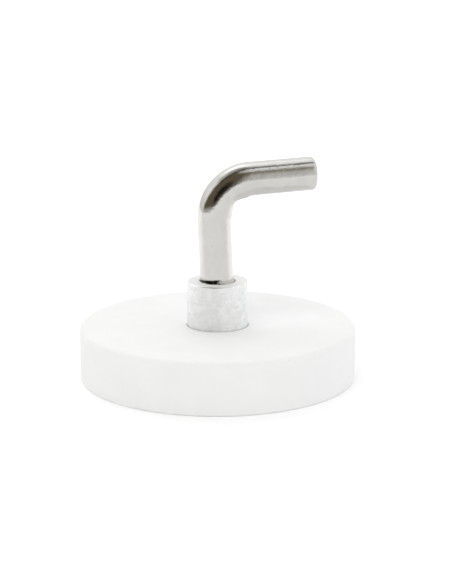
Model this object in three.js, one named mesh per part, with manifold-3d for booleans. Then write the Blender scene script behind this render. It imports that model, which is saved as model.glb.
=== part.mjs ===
// A rubber-coated disc magnet with a screw-in angled hook.
// Millimetres, +Z up. The origin is the centre of the underside, and the hook's arm points along +X.
// The steel yoke and its ring of magnets sit inside a moulded rubber jacket. A threaded bush is
// riveted through the yoke, stands up through the rubber, and takes the hook's thread.

import * as THREE from "three";
import { mergeVertices } from "three/addons/utils/BufferGeometryUtils.js";
import Module from "manifold-3d";

const wasm = await Module();
wasm.setup();

// Rubber jacket
const jacketDiameter = 31;
const jacketWall = 1.8; // rubber around the yoke's rim
const jacketRoof = 0.8; // rubber over the yoke
const jacketFloor = 0.7; // rubber under the magnets
const topEdgeRadius = 0.57;
const bottomEdgeRadius = 0.25;
const sinkMarkDepth = 0.1; // how far the thin rubber under each magnet shrinks in
const sinkMarkInset = 0.6; // from a magnet's edge to the edge of its mark

// Yoke and magnets
const yokeThickness = 1.5;
const yokeChamfer = 0.2;
const magnetCount = 6; // even, so that the poles alternate round the ring
const magnetHeight = 3;
const magnetChamfer = 0.25;
const magnetRimMargin = 1; // from the yoke's rim to a magnet's edge
const magnetGap = 2.2; // between two magnets

// Threaded bush
const bushDiameter = 6.8;
const bushRise = 5.05; // above the rubber
const bushRimChamfer = 0.12;
const bushFootFlare = 0.08; // how far the foot spreads where it meets the rubber
const bushFootHeight = 0.5;
const bushShoulder = 0.6; // how far the bush rests on the yoke, beyond its spigot
const rivetLip = 0.6; // how far the riveted end spreads under the yoke
const rivetThickness = 0.6;
const boreChamfer = 0.25;

// Hook
const rodDiameter = 3.82;
const threadPitch = 0.7;
const threadDepth = 0.4;
const threadStandOff = 0.36; // how far the thread's run-out ends above the bush
const tipGap = 0.9; // from the hook's tip to the bottom of the bush
const tipChamfer = 0.45;
const lean = THREE.MathUtils.degToRad(2.4); // of the shank, away from the arm
const bendAngle = THREE.MathUtils.degToRad(90);
const bendRadius = 4.26; // at the rod's centreline
const bendBulge = 0.17; // how far the squeezed metal swells on the inside of the bend, in two places
const bendHollow = 0.16; // how far the former pressed in between the two
const bulgeWidth = 0.9;
const hollowWidth = 0.75;
const bulgePlace = 0.16; // of the bend, from either end of it
const hookRise = 11.25; // from the bush's top to where the two centrelines would cross
const armReach = 11.09; // from the bush's axis to the end of the arm
const armEndRadius = 0.5;

// Fits
const mouldGap = 0.05; // around what the rubber holds, and around the spigot
const threadClearance = 0.09; // between the crest of the hook's thread and the bore
const leanShare = 0.8; // of that clearance, taken up by the lean at the foot of the bore's chamfer

// Mesh fineness
const jacketSides = 96;
const turnedSides = 48;
const magnetSides = 32;
const rodSides = 24;
const roundSteps = 4; // facets along a rounded edge
const threadRows = 5; // rows of vertices in one pitch
const bendSteps = 20; // round the bend and through its bulges

// Levels, from the underside up
const magnetTop = jacketFloor + magnetHeight;
const yokeTop = magnetTop + yokeThickness;
const jacketTop = yokeTop + jacketRoof;
const bushTop = jacketTop + bushRise;
const rivetBottom = magnetTop - rivetThickness;
const tipHeight = rivetBottom + tipGap;
const threadLength = bushTop + threadStandOff - tipHeight; // from the tip to the end of the run-out

// Radii
const jacketRadius = jacketDiameter / 2;
const yokeRadius = jacketRadius - jacketWall;
const bushRadius = bushDiameter / 2;
const spigotRadius = bushRadius - bushShoulder;
const rivetRadius = spigotRadius + rivetLip;
const rodRadius = rodDiameter / 2;
const boreRadius = rodRadius + threadClearance;

// The magnets touch the circle that leaves the rim margin, with the set gap between neighbours.
const halfStep = Math.sin(Math.PI / magnetCount);
const magnetReach = yokeRadius - magnetRimMargin;
const magnetRadius = (magnetReach * halfStep - magnetGap / 2) / (1 + halfStep);
const magnetRing = magnetReach - magnetRadius;

// The shank starts to lean inside the bore, as far down as the thread's clearance lets it.
const leanStart = boreChamfer + (leanShare * threadClearance) / Math.tan(lean);

const materials = {
  rubber: new THREE.MeshStandardMaterial({ color: 0xf2f2f0, roughness: 0.75, metalness: 0 }),
  steel: new THREE.MeshStandardMaterial({ color: 0x9a9c9e, roughness: 0.5, metalness: 1 }),
  magnet: new THREE.MeshStandardMaterial({ color: 0xc9c9c6, roughness: 0.25, metalness: 1 }),
  zinc: new THREE.MeshStandardMaterial({ color: 0xd5d8d8, roughness: 0.45, metalness: 1 }),
  nickel: new THREE.MeshStandardMaterial({ color: 0xd8d5cd, roughness: 0.15, metalness: 1 }),
};

// A profile of [radius, height] pairs, turned about the Z axis.
function turned(profile, sides) {
  const points = profile.map(([radius, height]) => new THREE.Vector2(radius, height));
  return new THREE.LatheGeometry(points, sides).rotateX(Math.PI / 2);
}

// A quarter round from one angle to another, in degrees, as [radius, height] pairs.
function quarterRound(centreRadius, centreHeight, radius, fromDegrees, toDegrees) {
  const points = [];
  for (let i = 0; i <= roundSteps; i++) {
    const angle = THREE.MathUtils.degToRad(fromDegrees + ((toDegrees - fromDegrees) * i) / roundSteps);
    points.push([centreRadius + radius * Math.cos(angle), centreHeight + radius * Math.sin(angle)]);
  }
  return points;
}

// A round disc standing on a height, with both rims chamfered.
function chamferedDisc(radius, bottom, top, chamfer, sides) {
  const profile = [
    [0, bottom],
    [radius - chamfer, bottom],
    [radius, bottom + chamfer],
    [radius, top - chamfer],
    [radius - chamfer, top],
    [0, top],
  ];
  return turned(profile, sides);
}

// A geometry as a manifold-3d solid, with its shared vertices merged.
function toSolid(geometry) {
  const bare = geometry.clone();
  bare.deleteAttribute("normal");
  bare.deleteAttribute("uv");
  const merged = mergeVertices(bare);
  return new wasm.Manifold(
    new wasm.Mesh({
      numProp: 3,
      vertProperties: merged.attributes.position.array,
      triVerts: new Uint32Array(merged.index.array),
    }),
  );
}

// A manifold-3d solid as a flat-shaded geometry.
function toGeometry(solid) {
  const mesh = solid.getMesh();
  const geometry = new THREE.BufferGeometry();
  geometry.setAttribute("position", new THREE.BufferAttribute(mesh.vertProperties, 3));
  geometry.setIndex(new THREE.BufferAttribute(mesh.triVerts, 1));
  const flat = geometry.toNonIndexed();
  flat.computeVertexNormals();
  return flat;
}

// Where the magnets stand: one [x, y] for each.
function magnetPlaces() {
  const places = [];
  for (let i = 0; i < magnetCount; i++) {
    const angle = (2 * Math.PI * i) / magnetCount;
    places.push([magnetRing * Math.cos(angle), magnetRing * Math.sin(angle)]);
  }
  return places;
}

function jacketGeometry() {
  const outside = toSolid(
    turned(
      [
        [0, 0],
        ...quarterRound(jacketRadius - bottomEdgeRadius, bottomEdgeRadius, bottomEdgeRadius, -90, 0),
        ...quarterRound(jacketRadius - topEdgeRadius, jacketTop - topEdgeRadius, topEdgeRadius, 0, 90),
        [0, jacketTop],
      ],
      jacketSides,
    ),
  );

  // The rivet's pocket, the yoke's pocket and the hole for the bush are one hollow.
  const pastTop = jacketTop + 1;
  const hollow = toSolid(
    turned(
      [
        [0, rivetBottom],
        [rivetRadius + mouldGap, rivetBottom],
        [rivetRadius + mouldGap, magnetTop],
        [yokeRadius + mouldGap, magnetTop],
        [yokeRadius + mouldGap, yokeTop],
        [bushRadius + mouldGap, yokeTop],
        [bushRadius + mouldGap, pastTop],
        [0, pastTop],
      ],
      jacketSides,
    ),
  );

  let jacket = outside.subtract(hollow);
  const intoYokePocket = yokeThickness / 4;
  const underside = -1;
  for (const [x, y] of magnetPlaces()) {
    const pocket = chamferedDisc(
      magnetRadius + mouldGap, jacketFloor, magnetTop + intoYokePocket, 0, magnetSides,
    );
    const mark = chamferedDisc(
      magnetRadius - sinkMarkInset, underside, sinkMarkDepth, 0, magnetSides,
    );
    jacket = jacket.subtract(toSolid(pocket.translate(x, y, 0)));
    jacket = jacket.subtract(toSolid(mark.translate(x, y, 0)));
  }
  return toGeometry(jacket);
}

function yokeGeometry() {
  const holeRadius = spigotRadius + mouldGap;
  return turned(
    [
      [holeRadius, magnetTop],
      [yokeRadius - yokeChamfer, magnetTop],
      [yokeRadius, magnetTop + yokeChamfer],
      [yokeRadius, yokeTop - yokeChamfer],
      [yokeRadius - yokeChamfer, yokeTop],
      [holeRadius, yokeTop],
      [holeRadius, magnetTop],
    ],
    jacketSides,
  );
}

function magnetGeometry() {
  return chamferedDisc(magnetRadius, jacketFloor, magnetTop, magnetChamfer, magnetSides);
}

function bushGeometry() {
  const rivetEdge = rivetThickness / 3;
  return turned(
    [
      [boreRadius, rivetBottom],
      [rivetRadius - rivetEdge, rivetBottom],
      [rivetRadius, rivetBottom + rivetEdge],
      [rivetRadius, magnetTop],
      [spigotRadius, magnetTop],
      [spigotRadius, yokeTop],
      [bushRadius, yokeTop],
      [bushRadius, jacketTop],
      [bushRadius + bushFootFlare, jacketTop],
      [bushRadius + bushFootFlare / 3, jacketTop + bushFootHeight / 2],
      [bushRadius, jacketTop + bushFootHeight],
      [bushRadius, bushTop - bushRimChamfer],
      [bushRadius - bushRimChamfer, bushTop],
      [boreRadius + boreChamfer, bushTop],
      [boreRadius, bushTop - boreChamfer],
      [boreRadius, rivetBottom],
    ],
    turnedSides,
  );
}

// The rod's centreline in the plane of the bend: up the thread, up the leaning shank, round the
// bend and along the arm. It gives the point and the direction at a length from the tip.
function rodPath() {
  const leanHeight = bushTop - leanStart;
  const shankWay = new THREE.Vector2(-Math.sin(lean), Math.cos(lean));
  const armAngle = Math.PI / 2 + lean - bendAngle;
  const armWay = new THREE.Vector2(Math.cos(armAngle), Math.sin(armAngle));

  const setBack = bendRadius * Math.tan(bendAngle / 2); // from the corner to where the bend starts
  const cornerUp = (hookRise + leanStart) / Math.cos(lean);
  const corner = new THREE.Vector2(0, leanHeight).addScaledVector(shankWay, cornerUp);
  const bendStart = corner.clone().addScaledVector(shankWay, -setBack);
  const bendEnd = corner.clone().addScaledVector(armWay, setBack);
  const bendCentre = bendStart.clone().addScaledVector(new THREE.Vector2(shankWay.y, -shankWay.x), bendRadius);

  const toLean = leanHeight - tipHeight;
  const toBend = toLean + cornerUp - setBack;
  const toArm = toBend + bendRadius * bendAngle;
  const toEnd = toArm + (armReach - bendEnd.x) / armWay.x;

  function at(length) {
    if (length <= toLean) {
      return { point: new THREE.Vector2(0, tipHeight + length), way: new THREE.Vector2(0, 1) };
    }
    if (length <= toBend) {
      return { point: bendStart.clone().addScaledVector(shankWay, length - toBend), way: shankWay };
    }
    if (length <= toArm) {
      const turn = (length - toBend) / bendRadius;
      const way = shankWay.clone().rotateAround(new THREE.Vector2(), -turn);
      const outward = new THREE.Vector2(-way.y, way.x);
      return { point: bendCentre.clone().addScaledVector(outward, bendRadius), way };
    }
    return { point: bendEnd.clone().addScaledVector(armWay, length - toArm), way: armWay };
  }
  return { at, toBend, toArm, toEnd };
}

// How deep the thread's groove is at a length from the tip and an angle round the rod.
function grooveDepth(length, angle) {
  const turns = length / threadPitch - angle / (2 * Math.PI);
  const wave = 0.5 - 0.5 * Math.cos(2 * Math.PI * turns);
  const runOut = THREE.MathUtils.clamp((threadLength - length) / threadPitch, 0, 1);
  return threadDepth * wave * runOut;
}

// How far the inside of the bend swells out, or in where it is negative, at a length from the tip.
function bendSwell(path, length) {
  const along = (share) => path.toBend + (path.toArm - path.toBend) * share;
  const hump = (centre, width) => Math.exp(-(((length - centre) / width) ** 2));
  const bulges = hump(along(bulgePlace), bulgeWidth) + hump(along(1 - bulgePlace), bulgeWidth);
  return bendBulge * bulges - bendHollow * hump(along(0.5), hollowWidth);
}

// The hook is made as the real one is: a straight pin, threaded, and then bent.
function hookGeometry() {
  const path = rodPath();
  const profile = [
    [0, 0],
    [rodRadius - tipChamfer, 0],
  ];
  for (let length = tipChamfer; length < threadLength; length += threadPitch / threadRows) {
    profile.push([rodRadius, length]);
  }
  profile.push([rodRadius, threadLength]);
  const bendFrom = path.toBend - bulgeWidth;
  const bendTo = path.toArm + bulgeWidth;
  for (let i = 0; i <= bendSteps; i++) {
    profile.push([rodRadius, bendFrom + ((bendTo - bendFrom) * i) / bendSteps]);
  }
  profile.push(
    ...quarterRound(rodRadius - armEndRadius, path.toEnd - armEndRadius, armEndRadius, 0, 90),
    [0, path.toEnd],
  );

  const pin = turned(profile, rodSides);
  const position = pin.attributes.position;
  const vertex = new THREE.Vector3();
  for (let i = 0; i < position.count; i++) {
    vertex.fromBufferAttribute(position, i);
    const angle = Math.atan2(vertex.y, vertex.x);
    const length = vertex.z;
    const onThread = length >= tipChamfer && length < threadLength;
    const groove = onThread ? grooveDepth(length, angle) : 0;
    const inside = Math.max(0, Math.cos(angle)) ** 1.5; // 1 on the inside of the bend, 0 round its back
    const radius = Math.hypot(vertex.x, vertex.y) - groove + bendSwell(path, length) * inside;

    // Radius and angle are measured about the centreline, in its own cross-section.
    const { point, way } = path.at(length);
    const across = radius * Math.cos(angle);
    vertex.set(point.x + across * way.y, radius * Math.sin(angle), point.y - across * way.x);
    position.setXYZ(i, vertex.x, vertex.y, vertex.z);
  }
  pin.computeVertexNormals();
  return pin;
}

function part(name, geometry, material) {
  const mesh = new THREE.Mesh(geometry, material);
  mesh.name = name;
  return mesh;
}

const hookMagnet = new THREE.Group();
hookMagnet.add(part("rubber_jacket", jacketGeometry(), materials.rubber));
hookMagnet.add(part("steel_yoke", yokeGeometry(), materials.steel));
magnetPlaces().forEach(([x, y], i) => {
  const magnet = part(`magnet_${i + 1}`, magnetGeometry(), materials.magnet);
  magnet.position.set(x, y, 0);
  hookMagnet.add(magnet);
});
hookMagnet.add(part("threaded_bush", bushGeometry(), materials.zinc));
hookMagnet.add(part("hook", hookGeometry(), materials.nickel));

export default hookMagnet;
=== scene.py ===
"""The looks of a rubber-coated disc magnet with a screw-in angled hook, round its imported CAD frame.

Metres, +Z up, in the frame of the CAD: the origin is the centre of the underside, and the arm points
along +X.
"""

import math
import random

import bpy
from mathutils import Matrix, Vector, noise


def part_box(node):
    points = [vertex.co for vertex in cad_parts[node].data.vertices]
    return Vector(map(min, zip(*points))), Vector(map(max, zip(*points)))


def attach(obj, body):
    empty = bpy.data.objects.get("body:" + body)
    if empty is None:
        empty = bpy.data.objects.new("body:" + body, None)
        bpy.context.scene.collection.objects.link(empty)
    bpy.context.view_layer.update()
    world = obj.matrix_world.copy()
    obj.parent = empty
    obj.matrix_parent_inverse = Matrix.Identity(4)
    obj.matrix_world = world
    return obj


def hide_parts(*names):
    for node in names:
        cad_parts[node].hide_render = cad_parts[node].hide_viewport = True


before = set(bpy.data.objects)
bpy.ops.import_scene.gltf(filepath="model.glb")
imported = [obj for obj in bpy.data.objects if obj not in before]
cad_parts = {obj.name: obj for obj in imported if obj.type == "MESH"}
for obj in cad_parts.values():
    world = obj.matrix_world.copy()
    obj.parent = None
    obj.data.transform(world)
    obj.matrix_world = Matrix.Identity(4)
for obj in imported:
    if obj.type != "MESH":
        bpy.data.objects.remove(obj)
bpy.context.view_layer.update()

MM = 0.001
ROUNDING = 1e-7  # metres, more than the rounding of a mesh's coordinates

# What the frame gives
jacket_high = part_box("rubber_jacket")[1]
yoke_low, yoke_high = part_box("steel_yoke")
magnet_low, magnet_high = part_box("magnet_1")
bush_low, bush_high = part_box("threaded_bush")
hook_low, hook_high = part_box("hook")
magnet_count = sum(name.startswith("magnet_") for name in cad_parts)

# Rubber jacket
JACKET_RADIUS = jacket_high.x
JACKET_TOP = jacket_high.z
TOP_EDGE = 0.57 * MM
BOTTOM_EDGE = 0.25 * MM
HOLE_EDGE = 0.12 * MM
MOULD_GAP = 0.05 * MM
SINK_DEPTH = 0.1 * MM
SINK_INSET = 0.6 * MM
SINK_SLOPE = 0.35 * MM
POCKET_OVERLAP = 0.3 * MM  # of a magnet's pocket with the yoke's
TOP_WAVES = 160  # per metre
TOP_WAVE_DEPTH = 0.025 * MM
TOP_WAVE_START = 2 * MM  # from the bush, where the top is still true
TOP_WAVE_SLICE = 0.01  # through the noise: another height gives another pattern

# Yoke and magnets
YOKE_RADIUS = yoke_high.x
MAGNET_RADIUS = (magnet_high.y - magnet_low.y) / 2
MAGNET_RING = (magnet_low.x + magnet_high.x) / 2

# Threaded bush
FOOT_FLARE = 0.08 * MM  # the foot of the CAD's bush
FOOT_SPREAD = 0.035 * MM
FOOT_HEIGHT = 0.45 * MM
FOOT_GAP = 0.035 * MM
TOOL_MARK = 0.004 * MM  # the deepest line left by the turning
BUSH_RADIUS = bush_high.x - FOOT_FLARE
BUSH_TOP = bush_high.z
BUSH_SHOULDER = 0.6 * MM
RIM_CHAMFER = 0.08 * MM
BORE_CHAMFER = 0.25 * MM
MOUTH_EDGE = 0.04 * MM
RIVET_LIP = 0.6 * MM

# Hook
ROD_RADIUS = hook_high.y
TIP = hook_low.z
ARM_END = hook_high.x
THREAD_CLEARANCE = 0.09 * MM
BORE_RADIUS = ROD_RADIUS + THREAD_CLEARANCE
PITCH = 0.7 * MM
THREAD_DEPTH = 0.42 * MM
ROOT_FLAT = 0.12  # as a share of the pitch
CREST_FLAT = 0.05
THREAD_STAND_OFF = 0.216 * MM
THREAD_TURN = -0.1135  # of a turn, so that the thread runs out at the front left of the bush's mouth
RUN_OUT = 0.054 * MM
LIGHT_CUT_FROM = (0.09 * MM, 0.15 * MM)  # back from the thread's end: a stretch cut to half the depth
LIGHT_CUT_TO = (0.25 * MM, 0.4 * MM)
LIGHT_CUT = 0.5
BURR = 0.75  # as a share of the thread's depth
BURR_ANGLE = math.radians(-115)
BURR_WIDTH = math.radians(2.5)
TIP_CHAMFER = 0.45 * MM
LEAN = math.radians(2.4)
BEND = math.radians(90)
BEND_RADIUS = 4.26 * MM
BEND_BULGE = 0.17 * MM
BEND_HOLLOW = 0.16 * MM
BULGE_WIDTH = 0.9 * MM
HOLLOW_WIDTH = 0.75 * MM
BULGE_PLACE = 0.16
HOOK_RISE = 11.25 * MM
ARM_EDGE = 0.5 * MM
MOUTH_FILL = 1.6  # the bulge towards the wider side of the mouth, as a share of the lean there
MOUTH_FADE = 0.06 * MM
PLATING_WAVES = 400  # per metre
PLATING_DEPTH = 0.009 * MM
PLATING_WAVE_DEPTH = 0.005 * MM
LEAN_START = BORE_CHAMFER + 0.8 * THREAD_CLEARANCE / math.tan(LEAN)

# Mesh fineness
JACKET_SIDES = 288
POCKET_SIDES = 64
BUSH_SIDES = 192
ROD_SIDES = 128
EDGE_STEPS = 8
SMALL_EDGE_STEPS = 4
UNDERSIDE_STEP = 0.3 * MM
JACKET_STEP = 0.4 * MM
TOOL_STEP = 0.05 * MM  # between the lines of the turning
END_TOOL_STEP = 0.06 * MM
THREAD_ROWS = 16  # in one pitch
STRAIGHT_STEP = 0.3 * MM
BEND_STEP = 0.12 * MM
SHARP_FROM = math.radians(32)

# Camera
CAMERA_AZIMUTH = math.radians(-12.4)
CAMERA_ELEVATION = math.radians(14.57)
CAMERA_ROLL = math.radians(0.126)
CAMERA_DISTANCE = 232.27 * MM
CAMERA_LENS = 127.61  # in mm, on a sensor whose long side is 36 mm
CAMERA_SENSOR = 36
AIM_RIGHT = 0.947 * MM
AIM_HEIGHT = 9.698 * MM

# The studio as the polished hook sees it: a white light tent round the table, open to a dark room. Each
# patch has a colour and lies inside all its caps. A cap is the azimuth and elevation of its centre, its
# radius and half the width of its soft edge, in degrees. Later patches cover earlier ones.
SURROUNDINGS = (0.6, 0.585, 0.54, 1)
STUDIO = [
    ("back of the tent", (1.12, 1.12, 1.12, 1), [(156, 42, 63, 12)]),
    ("left of the tent", (1.12, 1.12, 1.12, 1), [(-72, 30, 82, 30), (-80, -83, 131, 6)]),
    ("right of the tent", (1.0, 1.0, 1.0, 1), [(88, 12, 42, 12)]),
    ("haze at the table's edge", (0.88, 0.87, 0.85, 1), [(0, -90, 104, 16)]),
    ("window", (1.75, 1.75, 1.77, 1), [(-156, 58, 16, 12)]),
    ("gap in the roof", (0.44, 0.435, 0.42, 1), [(-70, 77, 20, 9)]),
    (
        "room",
        (0.142, 0.117, 0.077, 1),
        [(0, 90, 88, 7), (26, -20, 112, 10), (-76, 16, 89, 13), (-144, -73, 164, 6)],
    ),
    (
        "curtain's edge",
        (0.03, 0.028, 0.025, 1),
        [(26, -20, 107, 4), (-154, 20, 80, 4), (-50, 88, 40, 12)],
    ),
    ("open door", (0.014, 0.012, 0.011, 1), [(-14, 18, 16, 9)]),
    ("door's shadow", (0.022, 0.019, 0.017, 1), [(9, 11, 3, 17)]),
]

# A soft light from the front, kept out of the reflections. Angles are in degrees, the power in watts.
FILL_AZIMUTH = -24
FILL_ELEVATION = 49
FILL_DISTANCE = 0.8
FILL_SIZE = 0.9
FILL_POWER = 3.3

# The table glows, a painted light with no lamp behind it: faintly in front of the object, a little more
# near it, and more so at the sides and the back, away from the object.
TABLE_REACH = 3.0
TABLE_WHITE = (0.92, 0.925, 0.935, 1)
GLOW_NEAR = 0.1
GLOW_FRONT = 0.08
GLOW_BACK = 0.44
NEAR_WITHIN = 28 * MM
AWAY_BEYOND = 52 * MM
BACK_BEHIND = -25 * MM  # of the object's axis, towards the camera
FRONT_BEFORE = 22 * MM


# ---------------------------------------------------------------- camera and studio


def camera_axes():
    """The camera's right, up and back directions before it rolls."""
    a, e = CAMERA_AZIMUTH, CAMERA_ELEVATION
    back = Vector((math.sin(a) * math.cos(e), -math.cos(a) * math.cos(e), math.sin(e)))
    right = Vector((math.cos(a), math.sin(a), 0))
    return right, back.cross(right), back


def make_camera():
    right, up, back = camera_axes()
    aim = right * AIM_RIGHT + Vector((0, 0, AIM_HEIGHT))
    c, s = math.cos(CAMERA_ROLL), math.sin(CAMERA_ROLL)
    turn = Matrix((right * c - up * s, right * s + up * c, back)).transposed()
    data = bpy.data.cameras.new("camera")
    data.lens = CAMERA_LENS
    data.sensor_width = CAMERA_SENSOR
    data.clip_start = 0.01
    camera = bpy.data.objects.new("camera", data)
    camera.matrix_world = Matrix.Translation(aim + back * CAMERA_DISTANCE) @ turn.to_4x4()
    bpy.context.scene.collection.objects.link(camera)
    bpy.context.scene.camera = camera


def studio_direction(azimuth, elevation):
    """A direction in the studio. Azimuth 0 is towards the camera and 90 is to its right, in degrees."""
    right, _, back = camera_axes()
    front = Vector((back.x, back.y, 0)).normalized()
    a, e = math.radians(azimuth), math.radians(elevation)
    return (front * math.cos(a) + right * math.sin(a)) * math.cos(e) + Vector((0, 0, math.sin(e)))


class Tree:
    """A node tree, built by calling functions. A value is a number, a tuple or another node's output."""

    def __init__(self, tree):
        self.tree = tree
        tree.nodes.clear()

    def node(self, kind, **settings):
        made = self.tree.nodes.new(kind)
        for key, value in settings.items():
            setattr(made, key, value)
        return made

    def put(self, socket, value):
        if isinstance(value, bpy.types.NodeSocket):
            self.tree.links.new(value, socket)
        else:
            socket.default_value = value

    def math(self, operation, *values):
        made = self.node("ShaderNodeMath", operation=operation)
        for socket, value in zip(made.inputs, values):
            self.put(socket, value)
        return made.outputs[0]

    def vector(self, operation, *values):
        made = self.node("ShaderNodeVectorMath", operation=operation)
        for socket, value in zip(made.inputs, values):
            self.put(socket, value)
        single = operation in ("DOT_PRODUCT", "LENGTH", "DISTANCE")
        return made.outputs["Value" if single else "Vector"]

    def ramp(self, value, low, high, to_low=0.0, to_high=1.0, smooth=True):
        """to_low where value is below low, to_high where it is above high, and between them a ramp."""
        made = self.node("ShaderNodeMapRange", interpolation_type="SMOOTHSTEP" if smooth else "LINEAR")
        for name, given in (("Value", value), ("From Min", low), ("From Max", high)):
            self.put(made.inputs[name], given)
        for name, given in (("To Min", to_low), ("To Max", to_high)):
            self.put(made.inputs[name], given)
        return made.outputs["Result"]

    def noise(self, vector, scale, detail=2.0, roughness=0.5, w=None):
        """Noise round 0.5, with about `scale` lumps in each unit of the vector."""
        made = self.node("ShaderNodeTexNoise", noise_dimensions="3D" if w is None else "4D")
        self.put(made.inputs["Vector"], vector)
        self.put(made.inputs["Scale"], scale)
        self.put(made.inputs["Detail"], detail)
        self.put(made.inputs["Roughness"], roughness)
        if w is not None:
            self.put(made.inputs["W"], w)
        return made.outputs["Fac"]

    def mix(self, factor, a, b):
        made = self.node("ShaderNodeMix", data_type="RGBA")
        self.put(made.inputs["Factor"], factor)
        self.put(made.inputs["A"], a)
        self.put(made.inputs["B"], b)
        return made.outputs["Result"]

    def bump(self, height, distance, normal=None):
        made = self.node("ShaderNodeBump")
        self.put(made.inputs["Height"], height)
        self.put(made.inputs["Distance"], distance)
        if normal is not None:
            self.put(made.inputs["Normal"], normal)
        return made.outputs["Normal"]

    def millimetres(self, socket):
        made = self.node("ShaderNodeVectorMath", operation="SCALE")
        self.put(made.inputs["Vector"], socket)
        self.put(made.inputs["Scale"], 1 / MM)
        return made.outputs["Vector"]

    def stretch(self, vector, x, y, z):
        return self.vector("MULTIPLY", vector, (x, y, z))

    def split(self, vector):
        made = self.node("ShaderNodeSeparateXYZ")
        self.put(made.inputs[0], vector)
        return made.outputs

    def combine(self, x, y, z):
        made = self.node("ShaderNodeCombineXYZ")
        for socket, value in zip(made.inputs, (x, y, z)):
            self.put(socket, value)
        return made.outputs[0]


def make_world():
    """Paints the patches of the studio on the world, one over the other."""
    world = bpy.data.worlds.new("light_tent")
    world.use_nodes = True
    bpy.context.scene.world = world
    t = Tree(world.node_tree)
    way = t.node("ShaderNodeTexCoord").outputs["Generated"]

    def inside(cap):
        azimuth, elevation, radius, soft = cap
        cosine = t.vector("DOT_PRODUCT", way, tuple(studio_direction(azimuth, elevation)))
        angle = t.math("DEGREES", t.math("ARCCOSINE", cosine))
        return t.ramp(angle, radius - soft, radius + soft, 1.0, 0.0)

    colour = SURROUNDINGS
    for _, patch, caps in STUDIO:
        mask = inside(caps[0])
        for cap in caps[1:]:
            mask = t.math("MULTIPLY", mask, inside(cap))
        colour = t.mix(mask, colour, patch)
    background = t.node("ShaderNodeBackground")
    t.put(background.inputs["Color"], colour)
    output = t.node("ShaderNodeOutputWorld")
    t.put(output.inputs["Surface"], background.outputs[0])


def make_fill():
    data = bpy.data.lights.new("fill", "AREA")
    data.shape = "DISK"
    data.size = FILL_SIZE
    data.energy = FILL_POWER
    fill = bpy.data.objects.new("fill", data)
    way = studio_direction(FILL_AZIMUTH, FILL_ELEVATION)
    fill.location = way * FILL_DISTANCE
    fill.rotation_euler = way.to_track_quat("Z", "Y").to_euler()
    fill.visible_glossy = False
    fill.visible_camera = False
    bpy.context.scene.collection.objects.link(fill)


def make_floor():
    """A white shooting table with a painted glow in place of light from below."""
    mesh = bpy.data.meshes.new("floor")
    corners = [(-1, -1, 0), (1, -1, 0), (1, 1, 0), (-1, 1, 0)]
    mesh.from_pydata([Vector(corner) * TABLE_REACH for corner in corners], [], [(0, 1, 2, 3)])
    floor = bpy.data.objects.new("floor", mesh)
    bpy.context.scene.collection.objects.link(floor)
    material = bpy.data.materials.new("white_table")
    material.use_nodes = True
    t = Tree(material.node_tree)
    place = t.node("ShaderNodeTexCoord").outputs["Object"]
    nearness = t.vector("DOT_PRODUCT", place, tuple(studio_direction(0, 0)))
    shader = t.node("ShaderNodeBsdfPrincipled")
    shader.inputs["Base Color"].default_value = TABLE_WHITE
    shader.inputs["Roughness"].default_value = 0.8
    shader.inputs["Specular IOR Level"].default_value = 0.0
    shader.inputs["Emission Color"].default_value = (1.0, 1.0, 1.0, 1)
    # Painted light and shade: the glow is least in front of the object, a little more near it, and most
    # at the back and the sides.
    far_glow = t.ramp(nearness, BACK_BEHIND, FRONT_BEFORE, GLOW_BACK, GLOW_FRONT)
    away = t.ramp(t.vector("LENGTH", place), NEAR_WITHIN, AWAY_BEYOND)
    glow = t.ramp(away, 0.0, 1.0, GLOW_NEAR, far_glow, smooth=False)
    t.put(shader.inputs["Emission Strength"], glow)
    output = t.node("ShaderNodeOutputMaterial")
    t.put(output.inputs["Surface"], shader.outputs[0])
    mesh.materials.append(material)


# ---------------------------------------------------------------- meshes


def smoothstep(value, low, high):
    """0 below low, 1 above high, and a smooth rise between them."""
    share = min(1, max(0, (value - low) / (high - low)))
    return share * share * (3 - 2 * share)


def arc(radius, height, size, start, end, steps=EDGE_STEPS):
    """A rounded edge as (radius, height) pairs, about a centre, from one angle to another in degrees."""
    angles = [math.radians(start + (end - start) * i / steps) for i in range(steps + 1)]
    return [(radius + size * math.cos(a), height + size * math.sin(a)) for a in angles]


def even(start, end, step):
    """Numbers from start to end, both included, about step apart."""
    count = max(1, round(abs(end - start) / step))
    return [start + (end - start) * i / count for i in range(count + 1)]


def turned(name, profile, sides):
    """A mesh turned about Z. The profile starts and ends on the axis, or at one and the same point."""
    closes = profile[0] == profile[-1]
    vertices, rings = [], []
    for radius, height in profile[: -1 if closes else None]:
        if radius == 0:
            rings.append([len(vertices)] * sides)
            vertices.append((0, 0, height))
            continue
        rings.append(list(range(len(vertices), len(vertices) + sides)))
        for i in range(sides):
            angle = 2 * math.pi * i / sides
            vertices.append((radius * math.cos(angle), radius * math.sin(angle), height))
    if closes:
        rings.append(rings[0])
    faces = []
    for low, high in zip(rings, rings[1:]):
        for i in range(sides):
            j = (i + 1) % sides
            corners = (low[i], low[j], high[j], high[i])
            faces.append(tuple(dict.fromkeys(corners)))
    mesh = bpy.data.meshes.new(name)
    mesh.from_pydata(vertices, [], faces)
    return mesh


def make_piece(name, mesh, material, body, node):
    """Puts a finished mesh in the scene in place of a CAD node."""
    mesh.shade_smooth()
    mesh.set_sharp_from_angle(angle=SHARP_FROM)
    piece = bpy.data.objects.new(name, mesh)
    bpy.context.scene.collection.objects.link(piece)
    mesh.materials.clear()
    mesh.materials.append(material)
    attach(piece, body)
    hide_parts(node)


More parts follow.
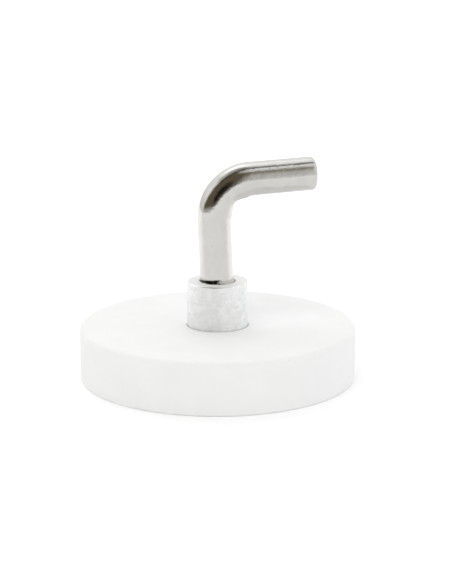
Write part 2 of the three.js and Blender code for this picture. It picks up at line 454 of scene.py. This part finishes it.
def cut(mesh, cutters):
    """A copy of mesh with the cutters, which don't touch each other, taken out of it."""
    whole = bpy.data.objects.new("whole", mesh)
    bpy.context.scene.collection.objects.link(whole)
    for cutter in cutters:
        tool = bpy.data.objects.new("tool", cutter)
        bpy.context.scene.collection.objects.link(tool)
        boolean = whole.modifiers.new("cut", "BOOLEAN")
        boolean.operation = "DIFFERENCE"
        boolean.solver = "EXACT"
        boolean.object = tool
    evaluated = whole.evaluated_get(bpy.context.evaluated_depsgraph_get())
    result = bpy.data.meshes.new_from_object(evaluated)
    for used in [whole] + [m.object for m in whole.modifiers]:
        bpy.data.objects.remove(used)
    return result


# ---------------------------------------------------------------- rubber jacket


def magnet_places():
    """The magnets' centres, as (x, y) pairs."""
    angles = [2 * math.pi * i / magnet_count for i in range(magnet_count)]
    return [(MAGNET_RING * math.cos(a), MAGNET_RING * math.sin(a)) for a in angles]


def underside_rise(x, y):
    """How far the thin rubber has shrunk in under the magnets."""
    edge = MAGNET_RADIUS - SINK_INSET
    nearest = min(math.hypot(x - mx, y - my) for mx, my in magnet_places())
    return SINK_DEPTH * (1 - smoothstep(nearest, edge - SINK_SLOPE, edge))


def top_dip(x, y):
    """The slight unevenness of the moulded top, always downwards."""
    swell = noise.noise(Vector((x, y, TOP_WAVE_SLICE)) * TOP_WAVES) * 0.5 + 0.5
    fade = smoothstep(math.hypot(x, y), BUSH_RADIUS, BUSH_RADIUS + TOP_WAVE_START)
    return TOP_WAVE_DEPTH * swell * fade


def jacket_profile():
    """From the middle of the underside, up the outside, over the top, and back down the inside."""
    hole = BUSH_RADIUS + MOULD_GAP
    rivet = BUSH_RADIUS - BUSH_SHOULDER + RIVET_LIP + MOULD_GAP
    pocket = YOKE_RADIUS + MOULD_GAP
    flat = JACKET_RADIUS - BOTTOM_EDGE
    profile = [(radius, 0) for radius in even(0, flat, UNDERSIDE_STEP)]
    profile += arc(flat, BOTTOM_EDGE, BOTTOM_EDGE, -90, 0)[1:]
    side_top = JACKET_TOP - TOP_EDGE
    profile += [(JACKET_RADIUS, z) for z in even(BOTTOM_EDGE, side_top, JACKET_STEP)[1:-1]]
    outer, inner = JACKET_RADIUS - TOP_EDGE, hole + HOLE_EDGE
    profile += arc(outer, side_top, TOP_EDGE, 0, 90)
    profile += [(radius, JACKET_TOP) for radius in even(outer, inner, JACKET_STEP)[1:]]
    profile += arc(inner, JACKET_TOP - HOLE_EDGE, HOLE_EDGE, 90, 180, SMALL_EDGE_STEPS)[1:]
    profile += [(hole, yoke_high.z), (pocket, yoke_high.z), (pocket, yoke_low.z)]
    profile += [(rivet, yoke_low.z), (rivet, bush_low.z), (0, bush_low.z)]
    return profile


def jacket_mesh():
    """The moulding with its stepped pocket inside, and a pocket for each magnet cut into it."""
    mesh = turned("rubber_coat", jacket_profile(), JACKET_SIDES)
    for vertex in mesh.vertices:
        x, y, z = vertex.co
        if z == 0:
            vertex.co.z = underside_rise(x, y)
        elif z > JACKET_TOP - ROUNDING:
            vertex.co.z -= top_dip(x, y)
    pockets = []
    for x, y in magnet_places():
        radius = MAGNET_RADIUS + MOULD_GAP
        above = yoke_low.z + POCKET_OVERLAP
        sides = [(0, magnet_low.z), (radius, magnet_low.z), (radius, above), (0, above)]
        pocket = turned("pocket", sides, POCKET_SIDES)
        pocket.transform(Matrix.Translation((x, y, 0)))
        pockets.append(pocket)
    return cut(mesh, pockets)


def rubber_material():
    """Matt white rubber, faintly mottled and grained, with a rare dark speck."""
    material = bpy.data.materials.new("white_rubber")
    material.use_nodes = True
    t = Tree(material.node_tree)
    dim_white = (0.893, 0.898, 0.903, 1)
    white = (0.91, 0.915, 0.92, 1)
    dirt = (0.35, 0.33, 0.3, 1)

    mm = t.millimetres(t.node("ShaderNodeTexCoord").outputs["Object"])
    mottle = t.noise(mm, 0.3, 3)
    grain = t.noise(mm, 7.0, 4, 0.6)
    speck = t.ramp(t.noise(mm, 2.4, 1), 0.8, 0.82)
    colour = t.mix(t.ramp(mottle, 0.3, 0.7), dim_white, white)
    colour = t.mix(t.math("MULTIPLY", speck, 0.3), colour, dirt)
    lumps = t.bump(t.noise(mm, 1.1, 2), 0.012 * MM)

    shader = t.node("ShaderNodeBsdfPrincipled")
    t.put(shader.inputs["Base Color"], colour)
    t.put(shader.inputs["Roughness"], t.ramp(grain, 0.3, 0.7, 0.56, 0.7))
    shader.inputs["Specular IOR Level"].default_value = 0.35
    t.put(shader.inputs["Normal"], t.bump(grain, 0.01 * MM, lumps))
    output = t.node("ShaderNodeOutputMaterial")
    t.put(output.inputs["Surface"], shader.outputs[0])
    return material


# ---------------------------------------------------------------- threaded bush


def bush_profile():
    """From the bottom of the bore, out along the riveted end, up the outside, and back down the bore."""
    shakes = random.Random(4)

    def tool_mark():
        return shakes.random() ** 3 * TOOL_MARK

    spigot = BUSH_RADIUS - BUSH_SHOULDER
    rivet = spigot + RIVET_LIP
    roll = (yoke_low.z - bush_low.z) / 3
    foot = JACKET_TOP + FOOT_GAP
    rim = BUSH_RADIUS - RIM_CHAMFER
    mouth = BORE_RADIUS + MOUTH_EDGE
    profile = [(BORE_RADIUS, bush_low.z)]
    profile += arc(rivet - roll, bush_low.z + roll, roll, -90, 0, SMALL_EDGE_STEPS)
    profile += [(rivet, yoke_low.z), (spigot, yoke_low.z), (spigot, yoke_high.z)]
    profile += [(BUSH_RADIUS, yoke_high.z), (BUSH_RADIUS, foot)]
    for share in even(0, 1, 0.2):
        profile.append((BUSH_RADIUS + FOOT_SPREAD * (1 - share) ** 3, foot + FOOT_HEIGHT * share))
    for z in even(foot + FOOT_HEIGHT, BUSH_TOP - RIM_CHAMFER, TOOL_STEP)[1:]:
        profile.append((BUSH_RADIUS - tool_mark(), z))
    profile += arc(rim, BUSH_TOP - RIM_CHAMFER, RIM_CHAMFER, 15, 90, 5)
    for radius in even(rim, mouth, END_TOOL_STEP)[1:-1]:
        profile.append((radius, BUSH_TOP - tool_mark()))
    profile += [(mouth, BUSH_TOP), (BORE_RADIUS, BUSH_TOP - MOUTH_EDGE)]
    return profile + profile[:1]


def bush_material():
    """Turned steel with a pale, slightly chalky zinc plating, polished by wear along its rim."""
    material = bpy.data.materials.new("turned_zinc")
    material.use_nodes = True
    t = Tree(material.node_tree)
    grey_zinc = (0.825, 0.842, 0.84, 1)
    pale_zinc = (0.925, 0.937, 0.935, 1)
    end_zinc = (0.9, 0.91, 0.905, 1)
    mark_grey = (0.58, 0.59, 0.59, 1)
    line_grey = (0.62, 0.64, 0.64, 1)
    lines_per_mm = 9.0

    mm = t.millimetres(t.node("ShaderNodeTexCoord").outputs["Object"])
    radius = t.vector("LENGTH", t.stretch(mm, 1, 1, 0))
    outward = t.math("MULTIPLY", radius, lines_per_mm)
    lines = t.noise(t.stretch(mm, 0.3, 0.3, lines_per_mm), 1.0, 4, 0.65, w=outward)
    blotch = t.noise(mm, 1.1, 4, 0.6)
    marks = t.ramp(t.noise(t.stretch(mm, 1.5, 1.5, 2.4), 1.0, 3, 0.65), 0.54, 0.74)
    height = t.split(mm)[2]
    top = BUSH_TOP / MM
    end_face = t.ramp(height, top - 0.04, top - 0.01)
    rim = (BUSH_RADIUS / MM, 0, top)
    from_rim = t.vector("DISTANCE", t.combine(radius, 0.0, height), rim)
    worn = t.ramp(from_rim, 0.07, 0.12, 1.0, 0.0)

    colour = t.mix(t.ramp(blotch, 0.35, 0.65), grey_zinc, pale_zinc)
    colour = t.mix(t.math("MULTIPLY", marks, 0.45), colour, mark_grey)
    colour = t.mix(t.ramp(lines, 0.5, 0.75, 0.0, 0.45), colour, line_grey)
    colour = t.mix(end_face, colour, end_zinc)
    bare_metal = t.math("MAXIMUM", worn, t.ramp(end_face, 0.0, 1.0, 0.6, 0.15))
    dull = t.math("MAXIMUM", t.ramp(blotch, 0.3, 0.7, 0.42, 0.55), t.math("MULTIPLY", end_face, 0.65))
    dents = t.bump(blotch, 0.01 * MM)

    shader = t.node("ShaderNodeBsdfPrincipled")
    t.put(shader.inputs["Base Color"], colour)
    t.put(shader.inputs["Metallic"], bare_metal)
    t.put(shader.inputs["Roughness"], t.ramp(worn, 0.0, 1.0, dull, 0.22))
    t.put(shader.inputs["Normal"], t.bump(lines, 0.012 * MM, dents))
    output = t.node("ShaderNodeOutputMaterial")
    t.put(output.inputs["Surface"], shader.outputs[0])
    return material


# ---------------------------------------------------------------- hook


class Rod:
    """The hook's centreline in the plane of the bend, by length from the tip."""

    def __init__(self):
        self.lean_height = BUSH_TOP - LEAN_START
        self.shank = Vector((-math.sin(LEAN), math.cos(LEAN)))
        arm_angle = math.pi / 2 + LEAN - BEND
        self.arm = Vector((math.cos(arm_angle), math.sin(arm_angle)))
        set_back = BEND_RADIUS * math.tan(BEND / 2)
        corner_up = (HOOK_RISE + LEAN_START) / math.cos(LEAN)
        corner = Vector((0, self.lean_height)) + self.shank * corner_up
        self.bend_start = corner - self.shank * set_back
        self.bend_end = corner + self.arm * set_back
        self.bend_centre = self.bend_start + Vector((self.shank.y, -self.shank.x)) * BEND_RADIUS
        self.to_lean = self.lean_height - TIP
        self.to_bend = self.to_lean + corner_up - set_back
        self.to_arm = self.to_bend + BEND_RADIUS * BEND
        self.to_end = self.to_arm + (ARM_END - self.bend_end.x) / self.arm.x

    def at(self, length):
        """The centreline's point and direction, as (x, z) vectors."""
        if length <= self.to_lean:
            return Vector((0, TIP + length)), Vector((0, 1))
        if length <= self.to_bend:
            return self.bend_start + self.shank * (length - self.to_bend), self.shank
        if length <= self.to_arm:
            turn = (length - self.to_bend) / BEND_RADIUS
            way = self.shank.copy()
            way.rotate(Matrix.Rotation(-turn, 2))
            return self.bend_centre + Vector((-way.y, way.x)) * BEND_RADIUS, way
        return self.bend_end + self.arm * (length - self.to_arm), self.arm

    def lean_out(self, length):
        """How far the lean has moved the centreline off the axis of the bush."""
        return max(0, length - self.to_lean) * math.sin(LEAN)

    def swell(self, length):
        """How far the inside of the bend swells out, or in where it is negative."""

        def hump(share, width):
            centre = self.to_bend + (self.to_arm - self.to_bend) * share
            return math.exp(-(((length - centre) / width) ** 2))

        bulges = hump(BULGE_PLACE, BULGE_WIDTH) + hump(1 - BULGE_PLACE, BULGE_WIDTH)
        return BEND_BULGE * bulges - BEND_HOLLOW * hump(0.5, HOLLOW_WIDTH)


def groove(length, angle, thread_end):
    """The thread's depth, from 0 on the crest to 1 in the root.

    Just before its end the thread is cut lightly, and a burr lies across it.
    """
    turns = length / PITCH - angle / (2 * math.pi) + THREAD_TURN
    centre = length - (turns % 1 - 0.5) * PITCH
    across = abs(turns % 1 - 0.5) * 2
    to_go = thread_end - centre
    light = smoothstep(to_go, *LIGHT_CUT_FROM) * (1 - smoothstep(to_go, *LIGHT_CUT_TO))
    burr = math.exp(-(((angle - BURR_ANGLE) / BURR_WIDTH) ** 2))
    burr *= 1 - smoothstep(to_go, 0, PITCH / 2)
    shape = 1 - smoothstep(across, ROOT_FLAT, 1 - CREST_FLAT)
    return shape * smoothstep(to_go, 0, RUN_OUT) * (1 - LIGHT_CUT * light) * (1 - BURR * burr)


def unevenness(x, y, length):
    """How far the plated rod lies inside its true radius."""
    swell = noise.noise(Vector((x, y, length)) * PLATING_WAVES)
    return PLATING_DEPTH + PLATING_WAVE_DEPTH * swell


def rod_profile(rod, thread_rows_end):
    """The straight rod: fine rows along the thread and the bend, and a rounded end."""
    bend_from = rod.to_bend - 2 * BULGE_WIDTH
    bend_to = rod.to_arm + 2 * BULGE_WIDTH
    arm_edge = rod.to_end - ARM_EDGE
    lengths = even(TIP_CHAMFER, thread_rows_end, PITCH / THREAD_ROWS)
    lengths += even(thread_rows_end, bend_from, STRAIGHT_STEP)[1:]
    lengths += even(bend_from, bend_to, BEND_STEP)[1:]
    lengths += even(bend_to, arm_edge, STRAIGHT_STEP)[1:-1]
    profile = [(0, 0), (ROD_RADIUS - TIP_CHAMFER, 0)]
    profile += [(ROD_RADIUS, length) for length in lengths]
    profile += arc(ROD_RADIUS - ARM_EDGE, arm_edge, ARM_EDGE, 0, 90)
    return profile + [(0, rod.to_end)]


def hook_mesh():
    """The rod is turned straight, threaded, and then bent along its centreline.

    Each point keeps its place before the bending and its depth in the thread, for the material.
    """
    rod = Rod()
    thread_end = BUSH_TOP + THREAD_STAND_OFF - TIP
    thread_rows_end = thread_end + PITCH / 2
    mesh = turned("bent_hook", rod_profile(rod, thread_rows_end), ROD_SIDES)
    mesh.attributes.new("straight", "FLOAT_VECTOR", "POINT")
    mesh.attributes.new("groove", "FLOAT", "POINT")
    straight = mesh.attributes["straight"]
    depth = mesh.attributes["groove"]
    for vertex in mesh.vertices:
        x, y, length = vertex.co
        straight.data[vertex.index].vector = vertex.co
        radius, angle = math.hypot(x, y), math.atan2(y, x)
        if 0 < length < thread_rows_end:
            cutting = groove(length, angle, thread_end)
            depth.data[vertex.index].value = cutting
            radius -= THREAD_DEPTH * cutting
        if radius:
            inside_bend = max(0, math.cos(angle))
            in_bush = smoothstep(BUSH_TOP - TIP - length, 0, MOUTH_FADE)
            radius += rod.swell(length) * inside_bend**1.5 - unevenness(x, y, length)
            radius += MOUTH_FILL * rod.lean_out(length) * inside_bend**2 * in_bush
        point, way = rod.at(length)
        across = radius * math.cos(angle)
        vertex.co = (point.x + across * way.y, radius * math.sin(angle), point.y - across * way.x)
    return mesh


def nickel_material():
    """Drawn steel rod with a bright nickel plating, and a dull thread whose groove is darkened to near
    black by painted shade and dirt.
    """
    material = bpy.data.materials.new("bright_nickel")
    material.use_nodes = True
    t = Tree(material.node_tree)
    dim_nickel = (0.58, 0.572, 0.552, 1)
    nickel = (0.608, 0.6, 0.58, 1)
    pit_grey = (0.3, 0.29, 0.27, 1)
    thread_shade_and_dirt = (0.05, 0.05, 0.042, 1)

    mm = t.millimetres(t.node("ShaderNodeAttribute", attribute_name="straight").outputs["Vector"])
    cut = t.node("ShaderNodeAttribute", attribute_name="groove").outputs["Fac"]
    in_thread = t.ramp(cut, 0.3, 0.8)
    cloud = t.noise(mm, 0.8, 3)
    pits = t.ramp(t.noise(mm, 3.1, 1), 0.76, 0.8)
    colour = t.mix(t.ramp(cloud, 0.35, 0.65), dim_nickel, nickel)
    colour = t.mix(t.math("MULTIPLY", pits, 0.6), colour, pit_grey)
    # The thread's groove goes near black: painted shade in the recess, and dirt.
    colour = t.mix(in_thread, colour, thread_shade_and_dirt)
    polish = t.ramp(cloud, 0.3, 0.7, 0.07, 0.12)
    roughness = t.math("MAXIMUM", polish, t.ramp(in_thread, 0.0, 1.0, 0.0, 0.5))

    ripple = t.noise(t.stretch(mm, 2.6, 2.6, 1.8), 1.0, 2)
    grain = t.noise(mm, 5.5, 2)
    drawn = t.noise(t.stretch(mm, 6, 6, 1.2), 1.0, 3, 0.6)
    rippled = t.bump(ripple, 0.014 * MM)
    grained = t.bump(grain, 0.0065 * MM, rippled)

    shader = t.node("ShaderNodeBsdfPrincipled")
    t.put(shader.inputs["Base Color"], colour)
    shader.inputs["Metallic"].default_value = 1.0
    t.put(shader.inputs["Roughness"], roughness)
    t.put(shader.inputs["Normal"], t.bump(drawn, 0.004 * MM, grained))
    output = t.node("ShaderNodeOutputMaterial")
    t.put(output.inputs["Surface"], shader.outputs[0])
    return material


# ---------------------------------------------------------------- yoke and magnets


def plated_material(name, dark, light, roughness):
    """A plated part that stays inside the rubber."""
    material = bpy.data.materials.new(name)
    material.use_nodes = True
    t = Tree(material.node_tree)
    mm = t.millimetres(t.node("ShaderNodeTexCoord").outputs["Object"])
    cloud = t.noise(mm, 1.5, 4, 0.6)
    grain = t.noise(mm, 12.0, 3)
    shader = t.node("ShaderNodeBsdfPrincipled")
    t.put(shader.inputs["Base Color"], t.mix(t.ramp(cloud, 0.35, 0.65), dark, light))
    shader.inputs["Metallic"].default_value = 1.0
    t.put(shader.inputs["Roughness"], t.ramp(cloud, 0.3, 0.7, roughness, roughness + 0.15))
    t.put(shader.inputs["Normal"], t.bump(grain, 0.004 * MM))
    output = t.node("ShaderNodeOutputMaterial")
    t.put(output.inputs["Surface"], shader.outputs[0])
    return material


def finish_inside():
    """Gives the yoke and the magnets, which stay as CAD nodes, their plating."""
    dark_steel, light_steel = (0.34, 0.35, 0.36, 1), (0.45, 0.46, 0.47, 1)
    dark_nickel, light_nickel = (0.6, 0.59, 0.56, 1), (0.68, 0.67, 0.64, 1)
    steel = plated_material("plated_steel", dark_steel, light_steel, roughness=0.35)
    nickel = plated_material("magnet_nickel", dark_nickel, light_nickel, roughness=0.16)
    for name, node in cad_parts.items():
        if name == "steel_yoke" or name.startswith("magnet_"):
            node.data.materials.clear()
            node.data.materials.append(nickel if name.startswith("magnet_") else steel)


# ---------------------------------------------------------------- the scene

make_camera()
make_world()
make_fill()
make_floor()
jacket = jacket_mesh()
make_piece("rubber_coat", jacket, rubber_material(), "magnet_base", "rubber_jacket")
bush = turned("turned_bush", bush_profile(), BUSH_SIDES)
make_piece("turned_bush", bush, bush_material(), "magnet_base", "threaded_bush")
make_piece("bent_hook", hook_mesh(), nickel_material(), "hook", "hook")
finish_inside()

bpy.context.scene.view_settings.view_transform = "Standard"
